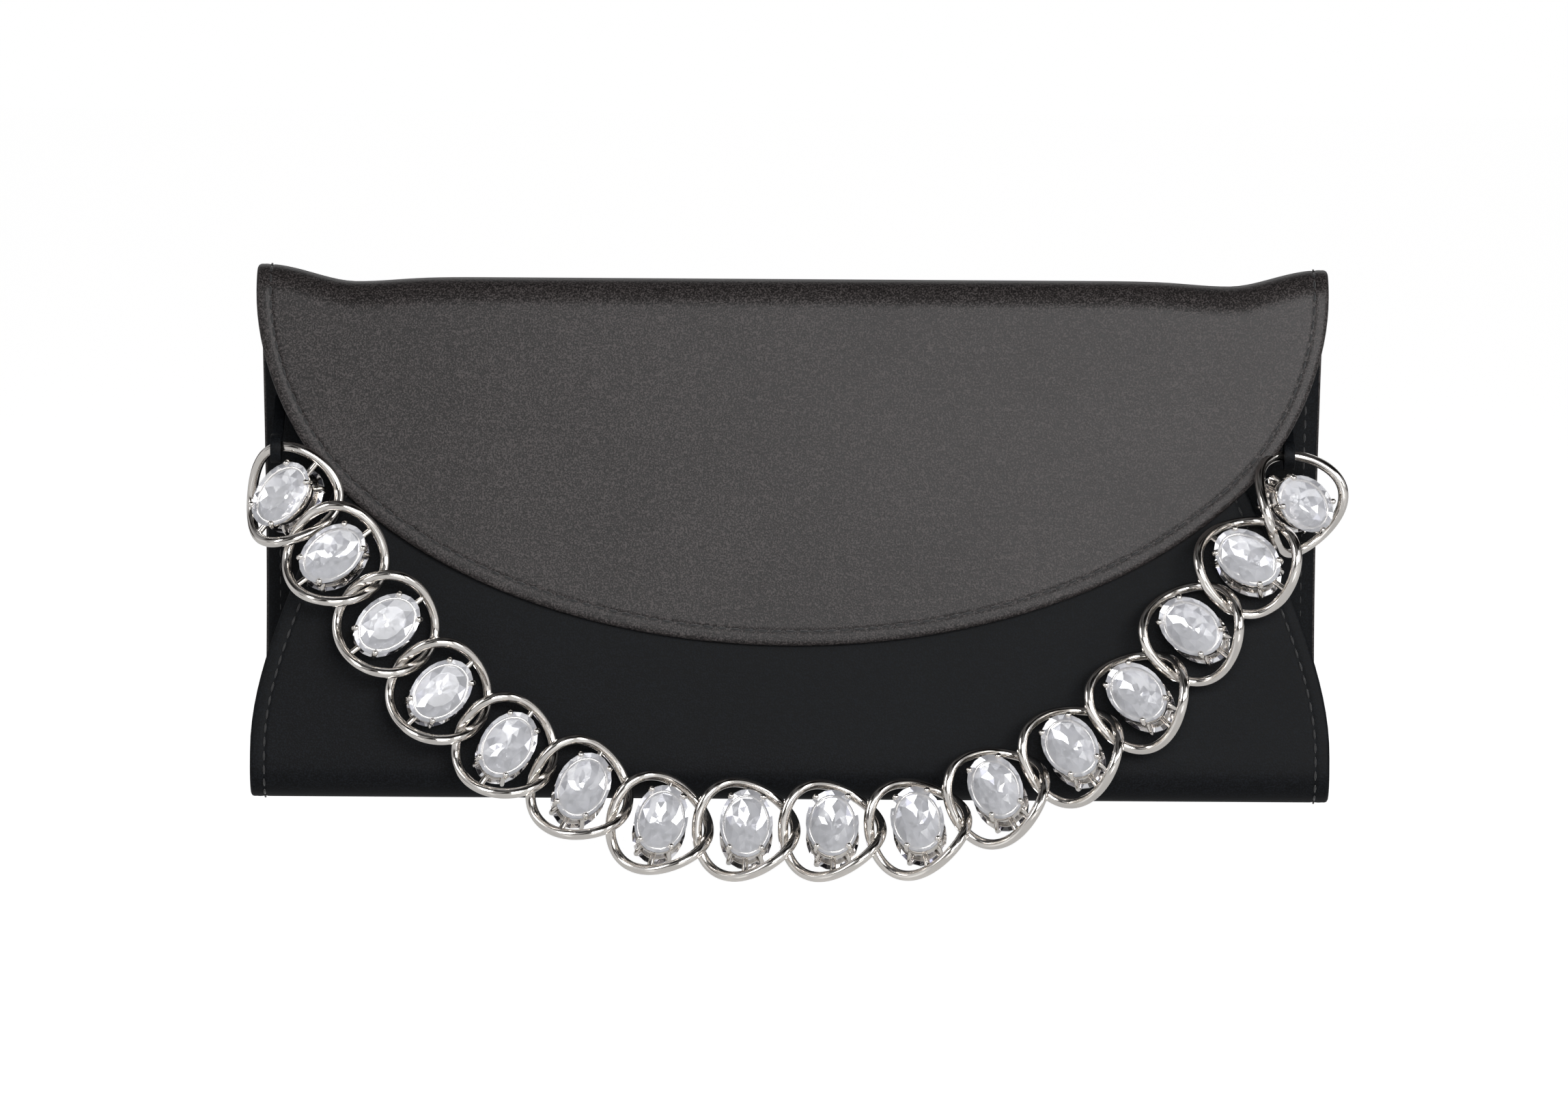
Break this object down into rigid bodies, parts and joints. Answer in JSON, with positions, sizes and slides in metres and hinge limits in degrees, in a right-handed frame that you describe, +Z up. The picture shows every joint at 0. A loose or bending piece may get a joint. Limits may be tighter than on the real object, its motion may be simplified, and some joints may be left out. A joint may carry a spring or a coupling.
{
  "type": "evening bag",
  "caption": "Satin envelope evening bag with a rounded flap, folding gussets and a chain strap of rings that each hold two oval cut stones.",
  "frame": {"origin": "centre of the flat base", "axes": "+Z up from the base, the flap and the strap on the -Y side, +X to the right seen from the front"},
  "size_m": [0.2681, 0.0589, 0.1438],
  "materials": {
    "satin": "black satin",
    "board": "stiffening board",
    "lining": "black twill lining",
    "silver": "polished silver-coloured plating",
    "crystal": "clear cut stone",
    "magnet": "nickel-plated magnet"
  },
  "bodies": {
    "bag": {"front_cover": "satin", "front_board": "board", "back_cover": "satin", "back_board": "board", "base_cover": "satin", "base_board": "board", "gusset_left": "satin", "gusset_right": "satin", "lining": "lining", "slip_pocket": "lining", "magnet_keeper": "magnet", "tab_left": "satin", "tab_right": "satin"},
    "flap": {"flap_cover": "satin", "flap_board": "board", "flap_lining": "lining", "flap_magnet": "magnet"},
    "links_1_and_16": {"link_1": "silver", "link_16": "silver", "stones_1": "crystal", "stones_16": "crystal"},
    "links_2_and_15": {"link_2": "silver", "link_15": "silver", "stones_2": "crystal", "stones_15": "crystal"},
    "links_3_and_14": {"link_3": "silver", "link_14": "silver", "stones_3": "crystal", "stones_14": "crystal"},
    "links_4_and_13": {"link_4": "silver", "link_13": "silver", "stones_4": "crystal", "stones_13": "crystal"},
    "links_5_and_12": {"link_5": "silver", "link_12": "silver", "stones_5": "crystal", "stones_12": "crystal"},
    "links_6_and_11": {"link_6": "silver", "link_11": "silver", "stones_6": "crystal", "stones_11": "crystal"},
    "links_7_and_10": {"link_7": "silver", "link_10": "silver", "stones_7": "crystal", "stones_10": "crystal"},
    "links_8_and_9": {"link_8": "silver", "link_9": "silver", "stones_8": "crystal", "stones_9": "crystal"}
  },
  "joints": [
    {"name": "flap_fold", "type": "hinge", "parent": "bag", "child": "flap", "pos_m": [0, 0.0068, 0.118], "axis": [-1, 0, 0], "range_deg": [0, 150]},
    {"name": "strap_swing", "type": "hinge", "parent": "bag", "child": "links_1_and_16", "pos_m": [0, -0.0118, 0.085], "axis": [-1, 0, 0], "range_deg": [0, 6]},
    {"name": "strap_fold_2", "type": "hinge", "parent": "links_1_and_16", "child": "links_2_and_15", "pos_m": [0, -0.01803, 0.06626], "axis": [-1, 0, 0], "range_deg": [0, 10]},
    {"name": "strap_fold_3", "type": "hinge", "parent": "links_2_and_15", "child": "links_3_and_14", "pos_m": [0, -0.02373, 0.05128], "axis": [-1, 0, 0], "range_deg": [0, 10]},
    {"name": "strap_fold_4", "type": "hinge", "parent": "links_3_and_14", "child": "links_4_and_13", "pos_m": [0, -0.02558, 0.03505], "axis": [-1, 0, 0], "range_deg": [0, 10]},
    {"name": "strap_fold_5", "type": "hinge", "parent": "links_4_and_13", "child": "links_5_and_12", "pos_m": [0, -0.02725, 0.02043], "axis": [-1, 0, 0], "range_deg": [0, 10]},
    {"name": "strap_fold_6", "type": "hinge", "parent": "links_5_and_12", "child": "links_6_and_11", "pos_m": [0, -0.02857, 0.00884], "axis": [-1, 0, 0], "range_deg": [0, 10]},
    {"name": "strap_fold_7", "type": "hinge", "parent": "links_6_and_11", "child": "links_7_and_10", "pos_m": [0, -0.0296, -0.00025], "axis": [-1, 0, 0], "range_deg": [0, 10]},
    {"name": "strap_fold_8", "type": "hinge", "parent": "links_7_and_10", "child": "links_8_and_9", "pos_m": [0, -0.03012, -0.00479], "axis": [-1, 0, 0], "range_deg": [0, 10]}
  ]
}
